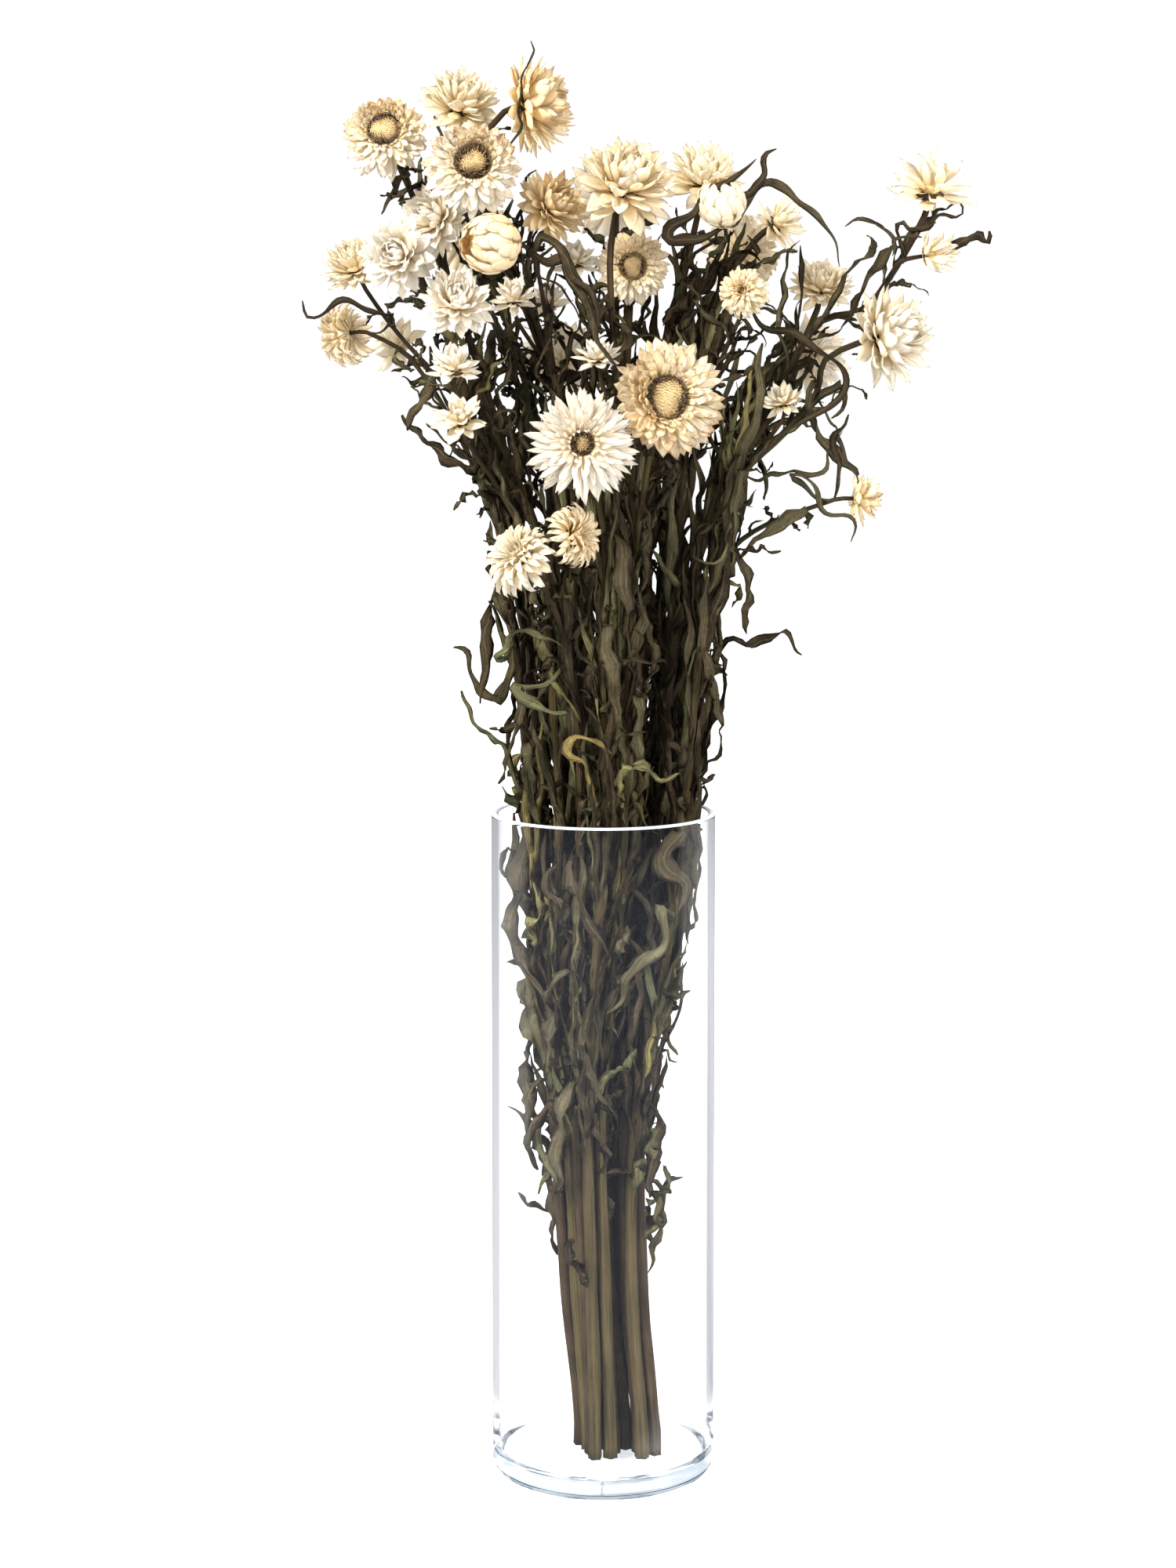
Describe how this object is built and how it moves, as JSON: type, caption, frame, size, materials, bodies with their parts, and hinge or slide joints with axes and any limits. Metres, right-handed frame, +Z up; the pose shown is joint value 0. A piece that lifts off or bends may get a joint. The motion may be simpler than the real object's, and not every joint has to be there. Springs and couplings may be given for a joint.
{
  "type": "dried strawflower",
  "caption": "Bunch of dried strawflowers on branching leafy stems, standing in a tall clear glass cylinder vase with a thick base.",
  "frame": {"origin": "centre of the vase's underside, on the table", "axes": "+Z up along the vase's axis; -Y towards the viewer of the picture; +X to the viewer's right"},
  "size_m": [0.2884, 0.1658, 0.6361],
  "materials": {
    "clear_glass": "clear, polished",
    "dried_stem": "dried stalks and leaves, matte, ridged",
    "papery_petal": "dry papery bracts, satin"
  },
  "bodies": {
    "root": {"vase": "clear_glass", "leafy_stem_01": "dried_stem", "leafy_stem_02": "dried_stem", "leafy_stem_03": "dried_stem", "leafy_stem_04": "dried_stem", "leafy_stem_05": "dried_stem", "leafy_stem_06": "dried_stem", "leafy_stem_07": "dried_stem", "leafy_stem_08": "dried_stem", "leafy_stem_09": "dried_stem", "leafy_stem_10": "dried_stem", "leafy_stem_11": "dried_stem", "leafy_stem_12": "dried_stem", "leafy_stem_13": "dried_stem", "leafy_stem_14": "dried_stem", "leafy_stem_15": "dried_stem", "leafy_stem_16": "dried_stem", "leafy_stem_17": "dried_stem", "leafy_stem_18": "dried_stem", "leafy_stem_19": "dried_stem", "open_bloom_01": "papery_petal", "half_bloom_02": "papery_petal", "half_bloom_03": "papery_petal", "open_bloom_04": "papery_petal", "half_bloom_05": "papery_petal", "half_bloom_06": "papery_petal", "bud_bloom_07": "papery_petal", "half_bloom_08": "papery_petal", "half_bloom_09": "papery_petal", "open_bloom_10": "papery_petal", "half_bloom_11": "papery_petal", "star_bloom_12": "papery_petal", "star_bloom_13": "papery_petal", "star_bloom_14": "papery_petal", "half_bloom_15": "papery_petal", "half_bloom_16": "papery_petal", "open_bloom_17": "papery_petal", "star_bloom_18": "papery_petal", "bud_bloom_19": "papery_petal", "star_bloom_20": "papery_petal", "open_bloom_21": "papery_petal", "half_bloom_22": "papery_petal", "half_bloom_23": "papery_petal", "bud_bloom_24": "papery_petal", "half_bloom_25": "papery_petal", "bud_bloom_26": "papery_petal", "open_bloom_27": "papery_petal", "open_bloom_28": "papery_petal", "open_bloom_29": "papery_petal", "half_bloom_30": "papery_petal", "star_bloom_31": "papery_petal", "star_bloom_32": "papery_petal", "star_bloom_33": "papery_petal", "star_bloom_34": "papery_petal", "open_bloom_35": "papery_petal", "half_bloom_36": "papery_petal", "open_bloom_37": "papery_petal", "half_bloom_38": "papery_petal", "star_bloom_39": "papery_petal", "half_bloom_40": "papery_petal"}
  },
  "joints": []
}
